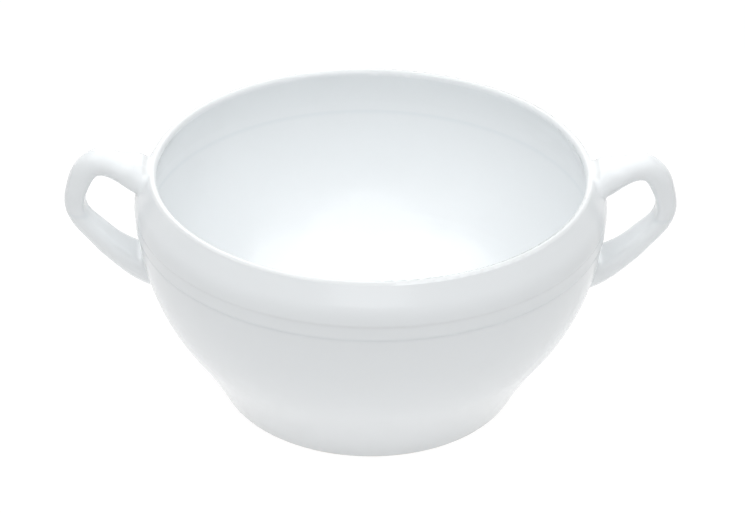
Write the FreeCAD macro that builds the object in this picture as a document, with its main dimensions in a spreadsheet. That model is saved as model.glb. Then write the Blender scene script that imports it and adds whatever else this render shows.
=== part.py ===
"""Bouillon cup: a low, wide soup cup with a flared band under its rim and two ear-shaped handles.

The cup is one piece of glazed ware. Millimetres, +Z up. The origin is the middle of the foot ring,
on the surface that the cup stands on, and the two handles lie along X.
"""
import FreeCAD, Part
import math
import os
import Sketcher

V = FreeCAD.Vector

# Driving dimensions in millimetres and degrees. A depth is measured down from the crown of the lip.
SIZES = {
    # Lip and the flared band under it
    "cup_height": 57.5,
    "rim_radius": 52.0,
    "lip_radius": 1.05,
    "band_radius": 55.3,
    "band_depth": 8.9,
    "band_round": 8.8,
    # The two fine ledges under the band
    "upper_step": 0.15,
    "lower_step": 0.33,
    "lower_step_depth": 12.4,
    # Bowl and foot
    "bowl_radius": 54.9,
    "bowl_centre_depth": 9.8,
    "foot_hollow": 115.0,
    "foot_radius": 35.0,
    "foot_edge": 1.3,
    "ring_width": 3.2,
    "ring_draft": 1.6,
    "recess_height": 4.0,
    # Inside
    "wall_thickness": 3.0,
    "floor_height": 8.0,
    "floor_round": 26.0,
    # Handle's middle line: its start inside the wall, then six arcs from the lip round to the bowl
    "handle_start_reach": 47.8,
    "handle_start_depth": 4.8,
    "handle_start_rise": 27.5,
    "top_limb_radius": 88.0,
    "top_limb_turn": 9.5,
    "shoulder_radius": 4.5,
    "shoulder_turn": 72.0,
    "outer_limb_radius": 17.6,
    "outer_limb_turn": 28.0,
    "elbow_radius": 8.2,
    "elbow_turn": 48.0,
    "low_limb_radius": 86.0,
    "low_limb_turn": 7.0,
    "low_root_radius": 26.0,
    "low_root_turn": 35.0,
    # Handle's section: thickness in the plane of the loop, width across it
    "top_root_thickness": 6.0,
    "top_root_width": 14.5,
    "top_limb_thickness": 5.0,
    "top_limb_width": 8.0,
    "outer_limb_thickness": 5.1,
    "outer_limb_width": 7.2,
    "elbow_thickness": 4.5,
    "elbow_width": 6.6,
    "low_limb_thickness": 5.0,
    "low_limb_width": 9.0,
    "low_root_thickness": 6.2,
    "low_root_width": 13.0,
    "inner_corner": 1.2,
    "outer_side": 0.3,
    "root_fillet": 1.2,
}

# How far the tool that hollows the cup stands above the lip.
TOOL_CLEARANCE = 5.0


def make_sheet(doc):
    """Spreadsheet of the driving dimensions, one alias to each."""
    sheet = doc.addObject("Spreadsheet::Sheet", "Sizes")
    for row, (alias, value) in enumerate(SIZES.items(), start=1):
        sheet.set(f"A{row}", alias)
        sheet.set(f"B{row}", str(value))
        sheet.setAlias(f"B{row}", alias)
    doc.recompute()
    return sheet


def origin_plane(body, role):
    return next(plane for plane in body.Origin.OriginFeatures if plane.Role == role)


def polar(centre, radius, angle):
    """Point on a circle, its angle in radians."""
    return (centre[0] + radius * math.cos(angle), centre[1] + radius * math.sin(angle))


def direction(start, end):
    """Angle in radians of the line from start to end."""
    return math.atan2(end[1] - start[1], end[0] - start[0])


class Outline:
    """A sketch whose lines and arcs are joined end to end and held by named sizes."""

    def __init__(self, body, name):
        self.sketch = body.newObject("Sketcher::SketchObject", name)

    def on_plane(self, plane):
        self.sketch.AttachmentSupport = [(plane, "")]
        self.sketch.MapMode = "FlatFace"
        return self

    def line(self, start, end):
        return self.sketch.addGeometry(Part.LineSegment(V(*start, 0), V(*end, 0)))

    def arc(self, centre, radius, low_angle, high_angle):
        """Arc that runs counterclockwise from low_angle to high_angle, in radians."""
        circle = Part.Circle(V(*centre, 0), V(0, 0, 1), radius)
        return self.sketch.addGeometry(Part.ArcOfCircle(circle, low_angle, high_angle))

    def hold(self, *constraint):
        return self.sketch.addConstraint(Sketcher.Constraint(*constraint))

    def size(self, name, expression, *constraint):
        """Adds a constraint with a size, and binds that size to the sheet."""
        index = self.hold(*constraint)
        self.sketch.renameConstraint(index, name)
        self.sketch.setExpression(f"Constraints.{name}", expression)

    def at(self, name, x, z, item, point):
        """Holds a point of an item at x and z, each a number with its expression, or None."""
        if x is not None:
            self.size(f"{name}_x", x[1], "DistanceX", -1, 1, item, point, x[0])
        if z is not None:
            self.size(f"{name}_z", z[1], "DistanceY", -1, 1, item, point, z[0])

    def joint(self, first, second):
        """The ends, one of each item, that lie on each other."""
        ends = [(a, b) for a in (1, 2) for b in (1, 2)]
        point = self.sketch.getPoint
        return min(ends, key=lambda pair: point(first, pair[0]).distanceToPoint(point(second, pair[1])))

    def join(self, first, second, kind="Coincident"):
        """Joins two items at the ends that meet, kind Tangent where they run on smoothly."""
        a, b = self.joint(first, second)
        self.hold(kind, first, a, second, b)


def bowl_middle(size):
    """Centre of the bowl's outer arc, whose upper end lies under the lower ledge."""
    top_x = size["band_radius"] - size["upper_step"] - size["lower_step"]
    drop = size["lower_step_depth"] + size["lower_step"] - size["bowl_centre_depth"]
    level = size["cup_height"] - size["bowl_centre_depth"]
    return (top_x - math.sqrt(size["bowl_radius"] ** 2 - drop ** 2), level)


def outer_outline(body, size):
    """Outline of the cup before it is hollowed: lip, band, ledges, bowl, foot and foot ring."""
    height, lip, edge = size["cup_height"], size["lip_radius"], size["foot_edge"]
    bowl, hollow, step = size["bowl_radius"], size["foot_hollow"], size["upper_step"]
    lip_centre = (size["rim_radius"] - lip, height - lip)
    band_foot = (size["band_radius"], height - size["band_depth"])
    band_centre = (band_foot[0] - size["band_round"], band_foot[1])
    # Flare: the straight line that touches the lip's round and the band's round
    offset = math.dist(lip_centre, band_centre)
    flare = direction(band_centre, lip_centre) - math.acos((size["band_round"] - lip) / offset)
    # Ledges, each a small bevel at 45 degrees
    strip_top = (band_foot[0] - step, band_foot[1] - step)
    strip_foot = (strip_top[0], height - size["lower_step_depth"])
    bowl_top = (strip_foot[0] - size["lower_step"], strip_foot[1] - size["lower_step"])
    bowl_centre = bowl_middle(size)
    # The foot's hollow curve touches the bowl and the rounded foot edge from outside
    edge_centre = (size["foot_radius"], edge)
    reach = math.dist(bowl_centre, edge_centre)
    along = ((bowl + hollow) ** 2 - (hollow + edge) ** 2 + reach ** 2) / (2 * reach)
    turn = math.acos(along / (bowl + hollow))
    hollow_centre = polar(bowl_centre, bowl + hollow, direction(bowl_centre, edge_centre) + turn)
    to_bowl = direction(hollow_centre, bowl_centre)
    to_edge = direction(hollow_centre, edge_centre)
    ring_inside = (size["foot_radius"] - size["ring_width"], 0.0)
    recess_edge = (ring_inside[0] - size["ring_draft"], size["recess_height"])

    draw = Outline(body, "outer_outline").on_plane(origin_plane(body, "XZ_Plane"))
    axis = draw.line((0, height), (0, recess_edge[1]))
    recess = draw.line((0, recess_edge[1]), recess_edge)
    ring_wall = draw.line(recess_edge, ring_inside)
    ring = draw.line(ring_inside, (edge_centre[0], 0))
    foot_edge = draw.arc(edge_centre, edge, -math.pi / 2, to_edge + math.pi)
    foot = draw.arc(hollow_centre, hollow, to_bowl % (2 * math.pi), to_edge % (2 * math.pi))
    bowl_arc = draw.arc(bowl_centre, bowl, to_bowl - math.pi, direction(bowl_centre, bowl_top))
    lower_step = draw.line(bowl_top, strip_foot)
    strip = draw.line(strip_foot, strip_top)
    upper_step = draw.line(strip_top, band_foot)
    band = draw.arc(band_centre, size["band_round"], 0, flare)
    flare_line = draw.line(polar(band_centre, size["band_round"], flare), polar(lip_centre, lip, flare))
    lip_arc = draw.arc(lip_centre, lip, flare, math.pi / 2)
    top = draw.line((lip_centre[0], height), (0, height))

    draw.join(axis, recess)
    draw.join(recess, ring_wall)
    draw.join(ring_wall, ring)
    draw.join(ring, foot_edge, "Tangent")
    draw.join(foot_edge, foot, "Tangent")
    draw.join(foot, bowl_arc, "Tangent")
    draw.join(bowl_arc, lower_step)
    draw.join(lower_step, strip)
    draw.join(strip, upper_step)
    draw.join(upper_step, band)
    draw.join(band, flare_line, "Tangent")
    draw.join(flare_line, lip_arc, "Tangent")
    draw.join(lip_arc, top, "Tangent")
    draw.join(top, axis)
    draw.hold("PointOnObject", axis, 1, -2)
    draw.hold("PointOnObject", axis, 2, -2)
    draw.hold("PointOnObject", ring, 1, -1)
    for level in (recess, ring, top):
        draw.hold("Horizontal", level)
    draw.hold("Vertical", strip)
    draw.hold("Horizontal", band, 3, band, 1)

    draw.at("recess", (recess_edge[0], "Sizes.foot_radius - Sizes.ring_width - Sizes.ring_draft"),
            (recess_edge[1], "Sizes.recess_height"), recess, 2)
    draw.at("ring_inside", (ring_inside[0], "Sizes.foot_radius - Sizes.ring_width"), None, ring, 1)
    draw.at("ring_outside", (edge_centre[0], "Sizes.foot_radius"), None, ring, 2)
    draw.size("foot_edge", "Sizes.foot_edge", "Radius", foot_edge, edge)
    draw.size("foot_hollow", "Sizes.foot_hollow", "Radius", foot, hollow)
    draw.size("bowl_radius", "Sizes.bowl_radius", "Radius", bowl_arc, bowl)
    draw.at("bowl_centre", None, (bowl_centre[1], "Sizes.cup_height - Sizes.bowl_centre_depth"), bowl_arc, 3)
    draw.at("strip_foot", (strip_foot[0], "Sizes.band_radius - Sizes.upper_step"),
            (strip_foot[1], "Sizes.cup_height - Sizes.lower_step_depth"), strip, 1)
    draw.size("lower_bevel", "45 deg", "Angle", lower_step, math.pi / 4)
    draw.size("lower_step", "Sizes.lower_step", "DistanceX", lower_step, 1, lower_step, 2, size["lower_step"])
    draw.size("upper_bevel", "45 deg", "Angle", upper_step, math.pi / 4)
    draw.at("band_foot", (band_foot[0], "Sizes.band_radius"),
            (band_foot[1], "Sizes.cup_height - Sizes.band_depth"), band, 1)
    draw.size("band_round", "Sizes.band_round", "Radius", band, size["band_round"])
    draw.size("lip_radius", "Sizes.lip_radius", "Radius", lip_arc, lip)
    draw.at("crown", (lip_centre[0], "Sizes.rim_radius - Sizes.lip_radius"),
            (height, "Sizes.cup_height"), top, 1)
    return draw.sketch


def cavity_outline(body, size):
    """Outline of the inside: the lip's inner half, the wall that follows the band, bowl and floor."""
    height, lip, floor = size["cup_height"], size["lip_radius"], size["floor_height"]
    above = height + TOOL_CLEARANCE
    lip_centre = (size["rim_radius"] - lip, height - lip)
    centre = bowl_middle(size)
    inner = size["bowl_radius"] - size["wall_thickness"]
    # The wall under the lip is one arc that touches the lip's round and the bowl's widest ring
    side, rise = lip_centre[0] - centre[0] - inner, lip_centre[1] - centre[1]
    flare_radius = (side ** 2 + rise ** 2 - lip ** 2) / (2 * (lip - side))
    flare_centre = (centre[0] + inner - flare_radius, centre[1])
    to_lip = direction(flare_centre, lip_centre)
    # The floor's round touches the bowl from inside and the flat floor from above
    floor_round = size["floor_round"]
    round_height = floor + floor_round
    round_side = centre[0] + math.sqrt((inner - floor_round) ** 2 - (round_height - centre[1]) ** 2)
    round_centre = (round_side, round_height)
    to_round = direction(centre, round_centre)

    draw = Outline(body, "cavity_outline").on_plane(origin_plane(body, "XZ_Plane"))
    axis = draw.line((0, floor), (0, above))
    cap = draw.line((0, above), (lip_centre[0], above))
    drop = draw.line((lip_centre[0], above), (lip_centre[0], height))
    lip_arc = draw.arc(lip_centre, lip, math.pi / 2, to_lip + math.pi)
    flare = draw.arc(flare_centre, flare_radius, 0, to_lip)
    bowl_arc = draw.arc(centre, inner, to_round, 0)
    corner = draw.arc(round_centre, floor_round, -math.pi / 2, to_round)
    base = draw.line((round_side, floor), (0, floor))

    draw.join(axis, cap)
    draw.join(cap, drop)
    draw.join(drop, lip_arc)
    draw.join(lip_arc, flare, "Tangent")
    draw.join(flare, bowl_arc, "Tangent")
    draw.join(bowl_arc, corner, "Tangent")
    draw.join(corner, base, "Tangent")
    draw.join(base, axis)
    draw.hold("PointOnObject", axis, 1, -2)
    draw.hold("PointOnObject", axis, 2, -2)
    draw.hold("Horizontal", cap)
    draw.hold("Horizontal", base)
    draw.hold("Vertical", drop)
    draw.hold("Horizontal", flare, 3, flare, 1)

    draw.at("tool_top", None, (above, f"Sizes.cup_height + {TOOL_CLEARANCE}"), axis, 2)
    draw.at("crown", (lip_centre[0], "Sizes.rim_radius - Sizes.lip_radius"),
            (height, "Sizes.cup_height"), drop, 2)
    draw.size("lip_radius", "Sizes.lip_radius", "Radius", lip_arc, lip)
    draw.at("lip_centre", (lip_centre[0], "Sizes.rim_radius - Sizes.lip_radius"), None, lip_arc, 3)
    draw.size("inner_radius", "Sizes.bowl_radius - Sizes.wall_thickness", "Radius", bowl_arc, inner)
    drop = "(Sizes.lower_step_depth + Sizes.lower_step - Sizes.bowl_centre_depth)"
    draw.at("bowl_centre", (centre[0], "Sizes.band_radius - Sizes.upper_step - Sizes.lower_step"
                            f" - sqrt(Sizes.bowl_radius ^ 2 - {drop} ^ 2)"),
            (centre[1], "Sizes.cup_height - Sizes.bowl_centre_depth"), bowl_arc, 3)
    draw.size("floor_round", "Sizes.floor_round", "Radius", corner, floor_round)
    draw.at("floor", None, (floor, "Sizes.floor_height"), axis, 1)
    return draw.sketch


LIMBS = ("top_limb", "shoulder", "outer_limb", "elbow", "low_limb", "low_root")


def handle_spine(body, size):
    """Middle line of the handle: six arcs, each running on from the one before it."""
    draw = Outline(body, "handle_spine").on_plane(origin_plane(body, "XZ_Plane"))
    start = (size["handle_start_reach"], size["cup_height"] - size["handle_start_depth"])
    point, heading = start, math.radians(size["handle_start_rise"])
    arcs = []
    for limb in LIMBS:
        radius, turn = size[f"{limb}_radius"], math.radians(size[f"{limb}_turn"])
        centre = polar(point, radius, heading - math.pi / 2)
        high = heading + math.pi / 2
        arcs.append(draw.arc(centre, radius, high - turn, high))
        point, heading = polar(centre, radius, high - turn), heading - turn
    for first, second in zip(arcs, arcs[1:]):
        draw.join(first, second, "Tangent")
    draw.at("start", (start[0], "Sizes.handle_start_reach"),
            (start[1], "Sizes.cup_height - Sizes.handle_start_depth"), arcs[0], 2)
    rise = math.radians(size["handle_start_rise"])
    draw.size("start_rise", "Sizes.top_limb_radius * sin(Sizes.handle_start_rise * 1 deg)",
              "DistanceX", arcs[0], 2, arcs[0], 3, size["top_limb_radius"] * math.sin(rise))
    for limb, arc in zip(LIMBS, arcs):
        draw.size(f"{limb}_radius", f"Sizes.{limb}_radius", "Radius", arc, size[f"{limb}_radius"])
        draw.size(f"{limb}_turn", f"Sizes.{limb}_turn * 1 deg", "Angle", arc, math.radians(size[f"{limb}_turn"]))
    return draw.sketch


def between(first, second, share):
    """Value and expression of a size that lies part of the way from one named size to another."""
    value = SIZES[first] + (SIZES[second] - SIZES[first]) * share
    return value, f"Sizes.{first} + (Sizes.{second} - Sizes.{first}) * {share}"


def handle_section(body, name, spine, edge, place, thickness, width):
    """Section across the handle: nearly flat towards the finger gap, full and round outside."""
    draw = Outline(body, name)
    draw.sketch.AttachmentSupport = [(spine, f"Edge{edge}")]
    draw.sketch.MapMode = "FrenetNB"
    draw.sketch.MapPathParameter = place
    small, side = SIZES["inner_corner"], SIZES["outer_side"]
    half, edge_y = thickness[0] / 2, width[0] / 2
    large = min(thickness[0] - small - side, edge_y - side)
    inner_y, outer_y = edge_y - small, edge_y - large
    inner_x, outer_x = -half + small, half - large
    inside = draw.line((-half, -inner_y), (-half, inner_y))
    inner_high = draw.arc((inner_x, inner_y), small, math.pi / 2, math.pi)
    side_high = draw.line((inner_x, edge_y), (outer_x, edge_y))
    outer_high = draw.arc((outer_x, outer_y), large, 0, math.pi / 2)
    outside = draw.line((half, outer_y), (half, -outer_y))
    outer_low = draw.arc((outer_x, -outer_y), large, -math.pi / 2, 0)
    side_low = draw.line((outer_x, -edge_y), (inner_x, -edge_y))
    inner_low = draw.arc((inner_x, -inner_y), small, math.pi, 3 * math.pi / 2)
    ring = (inside, inner_high, side_high, outer_high, outside, outer_low, side_low, inner_low)
    for first, second in zip(ring, ring[1:] + ring[:1]):
        draw.join(first, second, "Tangent")
    draw.hold("Symmetric", inside, 1, inside, 2, -1)
    draw.hold("Horizontal", side_high)
    draw.hold("Horizontal", side_low)
    draw.hold("Vertical", outside)
    draw.hold("Equal", inner_high, inner_low)
    draw.hold("Equal", outer_high, outer_low)
    draw.size("inner_corner", "Sizes.inner_corner", "Radius", inner_high, small)
    round_size = f"min({thickness[1]} - Sizes.inner_corner - Sizes.outer_side; ({width[1]}) / 2 - Sizes.outer_side)"
    draw.size("outer_round", round_size, "Radius", outer_high, large)
    draw.size("inner_face", f"({thickness[1]}) / 2", "DistanceX", inside, 1, -1, 1, half)
    draw.size("outer_face", f"({thickness[1]}) / 2", "DistanceX", -1, 1, outside, 1, half)
    draw.size("half_width", f"({width[1]}) / 2", "DistanceY", -1, 1, side_high, 1, edge_y)
    return draw.sketch


# Stations along the handle: the arc, the share of it that is passed, and the section's two sizes
# as a share of the way from one named place to another.
STATIONS = (
    ("top_limb", 0.0, "top_root", "top_limb", 0.0),
    ("top_limb", 0.45, "top_root", "top_limb", 0.3),
    ("top_limb", 0.72, "top_root", "top_limb", 0.72),
    ("top_limb", 1.0, "top_root", "top_limb", 1.0),
    ("shoulder", 0.5, "top_limb", "outer_limb", 0.3),
    ("shoulder", 1.0, "top_limb", "outer_limb", 0.6),
    ("outer_limb", 0.5, "top_limb", "outer_limb", 1.0),
    ("outer_limb", 1.0, "outer_limb", "elbow", 0.5),
    ("elbow", 0.5, "outer_limb", "elbow", 0.9),
    ("elbow", 1.0, "elbow", "low_limb", 0.1),
    ("low_limb", 0.5, "elbow", "low_limb", 0.5),
    ("low_limb", 1.0, "elbow", "low_limb", 1.0),
    ("low_root", 0.35, "low_limb", "low_root", 0.5),
    ("low_root", 0.65, "low_limb", "low_root", 0.9),
    ("low_root", 1.0, "low_limb", "low_root", 1.0),
)


def make_handle(body, size):
    """One handle, lofted through the stations along its middle line."""
    spine = handle_spine(body, size)
    spine.Document.recompute()
    sections = []
    for number, (limb, passed, first, second, share) in enumerate(STATIONS):
        edge = len(LIMBS) - LIMBS.index(limb)
        thickness = between(f"{first}_thickness", f"{second}_thickness", share)
        width = between(f"{first}_width", f"{second}_width", share)
        name = f"handle_section_{number:02d}"
        sections.append(handle_section(body, name, spine, edge, 1.0 - passed, thickness, width))
    handle = body.newObject("PartDesign::AdditiveLoft", "handle")
    handle.Profile = sections[0]
    handle.Sections = sections[1:]
    handle.Ruled = False
    return handle


def root_edges(shape):
    """Names of the edges where a handle meets the wall of the cup."""
    names = []
    for number, edge in enumerate(shape.Edges, start=1):
        faces = shape.ancestorsOfType(edge, Part.Face)
        kinds = {type(face.Surface).__name__ for face in faces}
        if "BSplineSurface" in kinds and len(kinds) > 1:
            names.append(f"Edge{number}")
    return names


def make_cup(doc):
    """The whole cup: turned outside, two handles, their roots rounded, and the inside hollowed out."""
    body = doc.addObject("PartDesign::Body", "cup")
    body.Label = "cup"
    outside = body.newObject("PartDesign::Revolution", "outside")
    outside.Profile = outer_outline(body, SIZES)
    outside.ReferenceAxis = (outside.Profile[0], ["V_Axis"])
    outside.Angle = 360
    doc.recompute()

    handle = make_handle(body, SIZES)
    doc.recompute()
    other = body.newObject("PartDesign::Mirrored", "other_handle")
    other.Originals = [handle]
    other.MirrorPlane = (origin_plane(body, "YZ_Plane"), [""])
    body.Tip = other
    doc.recompute()

    cavity = body.newObject("PartDesign::Groove", "cavity")
    cavity.Profile = cavity_outline(body, SIZES)
    cavity.ReferenceAxis = (cavity.Profile[0], ["V_Axis"])
    cavity.Angle = 360
    body.Tip = cavity
    doc.recompute()

    roots = body.newObject("PartDesign::Fillet", "handle_roots")
    roots.Base = (cavity, root_edges(cavity.Shape))
    roots.Radius = SIZES["root_fillet"]
    roots.setExpression("Radius", "Sizes.root_fillet")
    body.Tip = roots
    doc.recompute()
    return body


def check(doc, bodies):
    """Stops if any object failed or any piece is not one sound solid."""
    for item in doc.Objects:
        if "Invalid" in item.State or "Error" in item.State:
            raise RuntimeError(f"{item.Name} failed: {item.State} {item.getStatusString()}")
    for body in bodies:
        if body.Shape.isNull() or not body.Shape.isValid() or len(body.Shape.Solids) != 1:
            raise RuntimeError(f"{body.Label} is not one sound solid")


def main():
    doc = FreeCAD.newDocument("bouillon_cup")
    make_sheet(doc)
    bodies = [make_cup(doc)]
    check(doc, bodies)
    os.makedirs("parts", exist_ok=True)
    for body in bodies:
        body.Shape.exportStep(f"parts/{body.Label}.step")
        box = body.Shape.BoundBox
        print(body.Label, f"{box.XLength:.2f} x {box.YLength:.2f} x {box.ZLength:.2f} mm,",
              f"volume {body.Shape.Volume / 1000:.1f} cm3")


main()
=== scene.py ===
"""White bouillon cup on a white table, in soft studio light."""
import math

import bpy
from mathutils import Matrix, Vector

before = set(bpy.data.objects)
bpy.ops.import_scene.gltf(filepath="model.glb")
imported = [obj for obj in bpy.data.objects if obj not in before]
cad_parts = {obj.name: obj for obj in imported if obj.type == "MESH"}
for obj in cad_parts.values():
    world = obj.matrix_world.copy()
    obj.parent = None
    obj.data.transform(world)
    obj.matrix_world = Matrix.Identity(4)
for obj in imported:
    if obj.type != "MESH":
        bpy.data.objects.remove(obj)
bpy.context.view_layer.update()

MM = 0.001
WHITE = (1.0, 1.0, 1.0, 1.0)

# Camera, fitted to the photograph. Lengths in millimetres, angles in degrees.
CAMERA_DISTANCE = 520.0
CAMERA_ELEVATION = 31.21
CAMERA_AZIMUTH = -0.7
CAMERA_ROLL = 0.84
CAMERA_TARGET = Vector((0.57, 0.0, 32.9))
SENSOR_WIDTH = 36.0
FOCAL_PIXELS = 2178.6
PHOTO_WIDTH = 745

# Lamps: name, place in metres, width in metres, power in watts. All of them face the cup's middle.
LAMPS = (
    ("lamp_front", (0.0, -0.50, 0.75), 1.1, 3.8),
    ("lamp_back", (0.0, 0.70, 0.65), 0.9, 3.7),
    ("lamp_top", (0.0, 0.05, 0.75), 0.7, 0.7),
    ("lamp_left", (-0.50, 0.0, 0.85), 0.8, 2.35),
    ("lamp_right", (0.50, 0.0, 0.85), 0.8, 2.1),
)
LAMP_TARGET = (0.0, 0.0, 0.03)
LAMP_COLOUR = (0.982, 1.0, 1.016)

# Light that the surroundings give the cup, and the white that they show
SURROUNDINGS = 0.16
BACKDROP = 1.0

# Table: half its width, its paint, and the white glow that it shows with its share in the mix
TABLE_HALF = 3.0
TABLE_COLOUR = 0.72
TABLE_GLOW = 1.06
TABLE_GLOW_SHARE = 0.85

# The table top shines in a soft round patch, which brightens the foot of the cup.
# The fade is a share of the radius, each way.
PATCH_STRENGTH = 0.30
PATCH_RADIUS = 0.14
PATCH_FADE = 0.2

# Colours of glaze and clay
GLAZE_LIGHT = (0.900, 0.917, 0.924)
GLAZE_DARK = (0.880, 0.897, 0.904)
# Lip colour: thin glaze, made darker as painted shade on the crown, where the lamps fall most
GLAZE_THIN_AND_SHADE = (0.770, 0.780, 0.776)
GLAZE_POOLED = (0.835, 0.865, 0.880)
CLAY_LIGHT = (0.800, 0.760, 0.690)
CLAY_DARK = (0.700, 0.655, 0.580)

# Thin glaze on the lip, made darker still as painted shade on its lit crown, and glaze pooled at the
# lower ledge. Lengths in metres from here on.
LIP_HEIGHT = 0.0574
LIP_BAND = 0.0006
LIP_RADIUS = 0.0529
LIP_FADE = 0.0005
LIP_SHARE = 0.8
LEDGE_HEIGHT = 0.0451
LEDGE_BELOW = 0.0012
LEDGE_ABOVE = 0.0007
LEDGE_SHARE = 0.6

# Bare ring of clay under the foot, and how far its edge wanders
BARE_HEIGHT = 0.0007
BARE_FADE = 0.0002
BARE_WANDER = 0.0006

# Softened edges below the lip, and softened corners at the handle roots, each with where it starts
# and where it is full
SOFT_EDGE = 0.0010
SOFT_HEIGHT = (0.0545, 0.0535)
ROOT_FILLET = 0.0022
ROOT_REACH = (0.042, 0.046)
ROOT_ASIDE = (0.014, 0.009)
BEVEL_SAMPLES = 8

# Width of the spots in each noise
EDGE_SPOTS = 0.006
CLOUD_SPOTS = 0.022
CLAY_SPOTS = 0.0012
GLOSS_SPOTS = 0.009
WAVE_SPOTS = 0.014
SKIN_SPOTS = 0.0013
GRAIN_SPOTS = 0.0004

# Depth of each relief
WAVE_RELIEF = 0.00006
SKIN_RELIEF = 0.0000025
GRAIN_RELIEF = 0.00003

# Roughness and refraction
GLAZE_ROUGHNESS = (0.13, 0.19)
CLAY_ROUGHNESS = 0.8
GLAZE_IOR = 1.5


def node(tree, kind, **values):
    """New node of a kind, with its own values set."""
    made = tree.nodes.new(kind)
    for name, value in values.items():
        setattr(made, name, value)
    return made


def ramp(tree, value, low, high):
    """Rises smoothly from 0 to 1 while value goes from low to high, or falls if low is the larger."""
    made = node(tree, "ShaderNodeMapRange", interpolation_type="SMOOTHSTEP")
    made.inputs["From Min"].default_value = low
    made.inputs["From Max"].default_value = high
    tree.links.new(value, made.inputs["Value"])
    return made.outputs["Result"]


def math_of(tree, operation, first, second=None):
    """A sum, product or the like of a link with a second link or number."""
    made = node(tree, "ShaderNodeMath", operation=operation)
    tree.links.new(first, made.inputs[0])
    if isinstance(second, float):
        made.inputs[1].default_value = second
    elif second is not None:
        tree.links.new(second, made.inputs[1])
    return made.outputs[0]


def times(tree, first, second):
    """Product of a link with a second link or number."""
    return math_of(tree, "MULTIPLY", first, second)


def noise(tree, place, size, detail):
    """Soft noise from 0 to 1 whose spots are about size metres wide."""
    made = node(tree, "ShaderNodeTexNoise")
    made.inputs["Scale"].default_value = 1.0 / size
    made.inputs["Detail"].default_value = detail
    made.inputs["Roughness"].default_value = 0.5
    tree.links.new(place, made.inputs["Vector"])
    return made.outputs["Fac"]


def mixed(tree, share, first, second):
    """Colour that goes from first to second, each a colour or a link, as share goes from 0 to 1."""
    made = node(tree, "ShaderNodeMix", data_type="RGBA")
    tree.links.new(share, made.inputs["Factor"])
    for socket, colour in ((made.inputs[6], first), (made.inputs[7], second)):
        if isinstance(colour, tuple):
            socket.default_value = (*colour, 1.0)
        else:
            tree.links.new(colour, socket)
    return made.outputs[2]


def bump(tree, height, distance, under):
    """Relief whose full height is distance metres, laid over the relief under it."""
    made = node(tree, "ShaderNodeBump")
    made.inputs["Distance"].default_value = distance
    tree.links.new(height, made.inputs["Height"])
    tree.links.new(under, made.inputs["Normal"])
    return made.outputs["Normal"]


def seen_directly(tree):
    """A value of 1 where a ray comes straight from the camera, or off or through a glossy surface."""
    path = node(tree, "ShaderNodeLightPath")
    seen = math_of(tree, "MAXIMUM", path.outputs["Is Camera Ray"], path.outputs["Is Glossy Ray"])
    return math_of(tree, "MAXIMUM", seen, path.outputs["Is Transmission Ray"])


def mix_shaders(tree, share, first, second, kind):
    """Shows first where share is 0 and second where it is 1, as the whole world or material."""
    mix = node(tree, "ShaderNodeMixShader")
    tree.links.new(share, mix.inputs[0])
    tree.links.new(first, mix.inputs[1])
    tree.links.new(second, mix.inputs[2])
    tree.links.new(mix.outputs[0], node(tree, kind).inputs["Surface"])


def make_camera():
    """Camera at the photograph's viewing angle."""
    elevation, roll = math.radians(CAMERA_ELEVATION), math.radians(CAMERA_ROLL)
    ahead = Vector((0, math.cos(elevation), -math.sin(elevation)))
    up = Vector((0, math.sin(elevation), math.cos(elevation)))
    side = Vector((1, 0, 0))
    right = side * math.cos(roll) + up * math.sin(roll)
    top = up * math.cos(roll) - side * math.sin(roll)
    place = CAMERA_TARGET - ahead * CAMERA_DISTANCE
    turn = Matrix.Rotation(math.radians(CAMERA_AZIMUTH), 4, "Z")
    axes = Matrix((right, top, -ahead)).transposed().to_4x4()
    camera = bpy.data.objects.new("camera", bpy.data.cameras.new("camera"))
    camera.matrix_world = turn @ Matrix.Translation(place * MM) @ axes
    camera.data.sensor_width = SENSOR_WIDTH
    camera.data.lens = SENSOR_WIDTH * FOCAL_PIXELS / PHOTO_WIDTH
    camera.data.clip_start = 0.01
    camera.data.clip_end = 20.0
    bpy.context.scene.collection.objects.link(camera)
    bpy.context.scene.camera = camera


def add_lamp(name, place, size, power):
    """Round soft lamp that faces the middle of the cup."""
    light = bpy.data.lights.new(name, "AREA")
    light.shape = "DISK"
    light.size = size
    light.energy = power
    light.color = LAMP_COLOUR
    lamp = bpy.data.objects.new(name, light)
    lamp.location = place
    ahead = Vector(LAMP_TARGET) - Vector(place)
    lamp.rotation_euler = ahead.to_track_quat("-Z", "Y").to_euler()
    bpy.context.scene.collection.objects.link(lamp)


def make_world():
    """Even white surroundings: a white backdrop to look at, and a softer light on the cup."""
    world = bpy.data.worlds.new("studio")
    bpy.context.scene.world = world
    world.use_nodes = True
    tree = world.node_tree
    tree.nodes.clear()
    lighting = node(tree, "ShaderNodeBackground")
    lighting.inputs["Color"].default_value = WHITE
    lighting.inputs["Strength"].default_value = SURROUNDINGS
    backdrop = node(tree, "ShaderNodeBackground")
    backdrop.inputs["Color"].default_value = WHITE
    backdrop.inputs["Strength"].default_value = BACKDROP
    mix_shaders(tree, seen_directly(tree), lighting.outputs[0], backdrop.outputs[0],
                "ShaderNodeOutputWorld")


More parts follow.
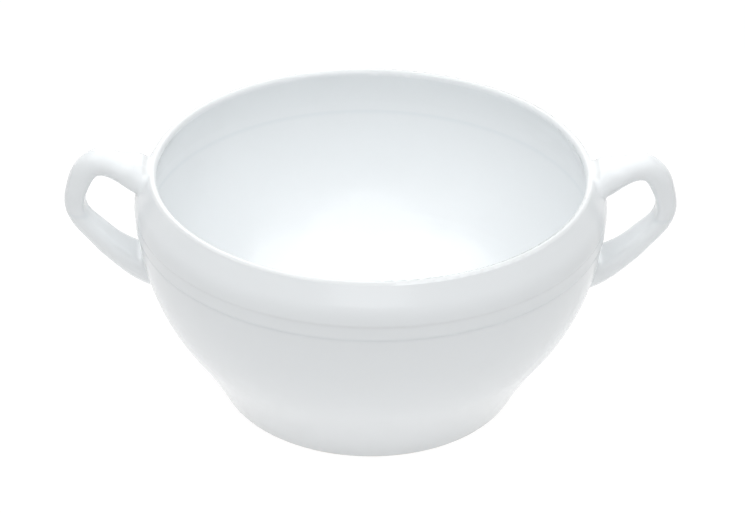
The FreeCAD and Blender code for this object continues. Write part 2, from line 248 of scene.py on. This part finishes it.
def make_table():
    """White table top, which shows mostly a white glow and a share of its own lighting."""
    mesh = bpy.data.meshes.new("table_top")
    half = TABLE_HALF
    corners = [(-half, -half, 0), (half, -half, 0), (half, half, 0), (-half, half, 0)]
    mesh.from_pydata(corners, [], [(0, 1, 2, 3)])
    table = bpy.data.objects.new("table_top", mesh)
    bpy.context.scene.collection.objects.link(table)

    material = bpy.data.materials.new("table_white")
    material.use_nodes = True
    tree = material.node_tree
    tree.nodes.clear()
    paint = node(tree, "ShaderNodeBsdfDiffuse")
    paint.inputs["Color"].default_value = (TABLE_COLOUR, TABLE_COLOUR, TABLE_COLOUR, 1.0)
    far = node(tree, "ShaderNodeVectorMath", operation="LENGTH")
    tree.links.new(node(tree, "ShaderNodeTexCoord").outputs["Object"], far.inputs[0])
    fade = ramp(tree, far.outputs["Value"],
                PATCH_RADIUS * (1 + PATCH_FADE), PATCH_RADIUS * (1 - PATCH_FADE))
    patch = node(tree, "ShaderNodeEmission")
    tree.links.new(times(tree, fade, PATCH_STRENGTH), patch.inputs["Strength"])
    lit = node(tree, "ShaderNodeAddShader")
    tree.links.new(paint.outputs[0], lit.inputs[0])
    tree.links.new(patch.outputs[0], lit.inputs[1])
    glow = node(tree, "ShaderNodeEmission")
    glow.inputs["Color"].default_value = WHITE
    glow.inputs["Strength"].default_value = TABLE_GLOW
    mix_shaders(tree, times(tree, seen_directly(tree), TABLE_GLOW_SHARE), lit.outputs[0],
                glow.outputs[0], "ShaderNodeOutputMaterial")
    mesh.materials.append(material)


def bare_ring(tree, place, height):
    """A value of 1 on the foot ring, which is wiped clean of glaze up to an edge that wanders."""
    wander = times(tree, noise(tree, place, EDGE_SPOTS, 1.0), BARE_WANDER)
    return ramp(tree, math_of(tree, "ADD", height, wander), BARE_HEIGHT + BARE_FADE, BARE_HEIGHT)


def surface_colour(tree, place, height, bare):
    """Cloudy white glaze, darker on the lip's crown where it is thin and painted with shade, darker
    where it pools at the ledge, and bare clay.
    """
    colour = mixed(tree, noise(tree, place, CLOUD_SPOTS, 2.0), GLAZE_DARK, GLAZE_LIGHT)
    flat = node(tree, "ShaderNodeVectorMath", operation="MULTIPLY")
    flat.inputs[1].default_value = (1.0, 1.0, 0.0)
    tree.links.new(place, flat.inputs[0])
    around = node(tree, "ShaderNodeVectorMath", operation="LENGTH")
    tree.links.new(flat.outputs["Vector"], around.inputs[0])
    # Thin glaze and painted shade on the lip's crown, which faces the lamps most
    lip = times(tree, ramp(tree, height, LIP_HEIGHT - LIP_BAND, LIP_HEIGHT),
                ramp(tree, around.outputs["Value"], LIP_RADIUS + LIP_FADE, LIP_RADIUS))
    colour = mixed(tree, times(tree, lip, LIP_SHARE), colour, GLAZE_THIN_AND_SHADE)
    ledge = times(tree, ramp(tree, height, LEDGE_HEIGHT - LEDGE_BELOW, LEDGE_HEIGHT),
                  ramp(tree, height, LEDGE_HEIGHT + LEDGE_ABOVE, LEDGE_HEIGHT))
    colour = mixed(tree, times(tree, ledge, LEDGE_SHARE), colour, GLAZE_POOLED)
    clay = mixed(tree, noise(tree, place, CLAY_SPOTS, 3.0), CLAY_DARK, CLAY_LIGHT)
    return mixed(tree, bare, colour, clay)


def surface_roughness(tree, place, bare):
    """Gloss that varies faintly over the glaze, and matt clay."""
    gloss = node(tree, "ShaderNodeMapRange")
    gloss.inputs["To Min"].default_value = GLAZE_ROUGHNESS[0]
    gloss.inputs["To Max"].default_value = GLAZE_ROUGHNESS[1]
    tree.links.new(noise(tree, place, GLOSS_SPOTS, 3.0), gloss.inputs["Value"])
    matt = node(tree, "ShaderNodeMix")
    matt.inputs["B"].default_value = CLAY_ROUGHNESS
    tree.links.new(bare, matt.inputs["Factor"])
    tree.links.new(gloss.outputs["Result"], matt.inputs["A"])
    return matt.outputs["Result"]


def softened_edges(tree, split):
    """The glaze rounds the ledges a little, and fills the corner where each handle joins the wall."""
    reach = math_of(tree, "ABSOLUTE", split.outputs["X"])
    aside = math_of(tree, "ABSOLUTE", split.outputs["Y"])
    root = times(tree, ramp(tree, reach, *ROOT_REACH), ramp(tree, aside, *ROOT_ASIDE))
    below_lip = ramp(tree, split.outputs["Z"], *SOFT_HEIGHT)
    radius = math_of(tree, "MAXIMUM", times(tree, root, ROOT_FILLET), times(tree, below_lip, SOFT_EDGE))
    soft = node(tree, "ShaderNodeBevel", samples=BEVEL_SAMPLES)
    tree.links.new(radius, soft.inputs["Radius"])
    return soft.outputs["Normal"]


def surface_relief(tree, place, bare, soft):
    """Slow waves where the glaze ran, a fine skin, and grain where the clay is bare."""
    relief = bump(tree, noise(tree, place, WAVE_SPOTS, 1.0), WAVE_RELIEF, soft)
    relief = bump(tree, noise(tree, place, SKIN_SPOTS, 2.0), SKIN_RELIEF, relief)
    return bump(tree, times(tree, noise(tree, place, GRAIN_SPOTS, 2.0), bare), GRAIN_RELIEF, relief)


def make_glaze():
    """Glossy white glaze that pools at the lower ledge, with a bare ring of fired clay to stand on."""
    material = bpy.data.materials.new("glaze")
    material.use_nodes = True
    tree = material.node_tree
    tree.nodes.clear()
    place = node(tree, "ShaderNodeTexCoord").outputs["Object"]
    split = node(tree, "ShaderNodeSeparateXYZ")
    tree.links.new(place, split.inputs[0])
    height = split.outputs["Z"]
    bare = bare_ring(tree, place, height)
    relief = surface_relief(tree, place, bare, softened_edges(tree, split))

    shader = node(tree, "ShaderNodeBsdfPrincipled")
    shader.inputs["IOR"].default_value = GLAZE_IOR
    tree.links.new(surface_colour(tree, place, height, bare), shader.inputs["Base Color"])
    tree.links.new(surface_roughness(tree, place, bare), shader.inputs["Roughness"])
    tree.links.new(relief, shader.inputs["Normal"])
    out = node(tree, "ShaderNodeOutputMaterial")
    tree.links.new(shader.outputs[0], out.inputs["Surface"])
    return material


def main():
    bpy.context.scene.view_settings.view_transform = "Standard"
    make_camera()
    make_world()
    make_table()
    for lamp in LAMPS:
        add_lamp(*lamp)
    glaze = make_glaze()
    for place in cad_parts["cup"].material_slots:
        place.material = glaze


main()
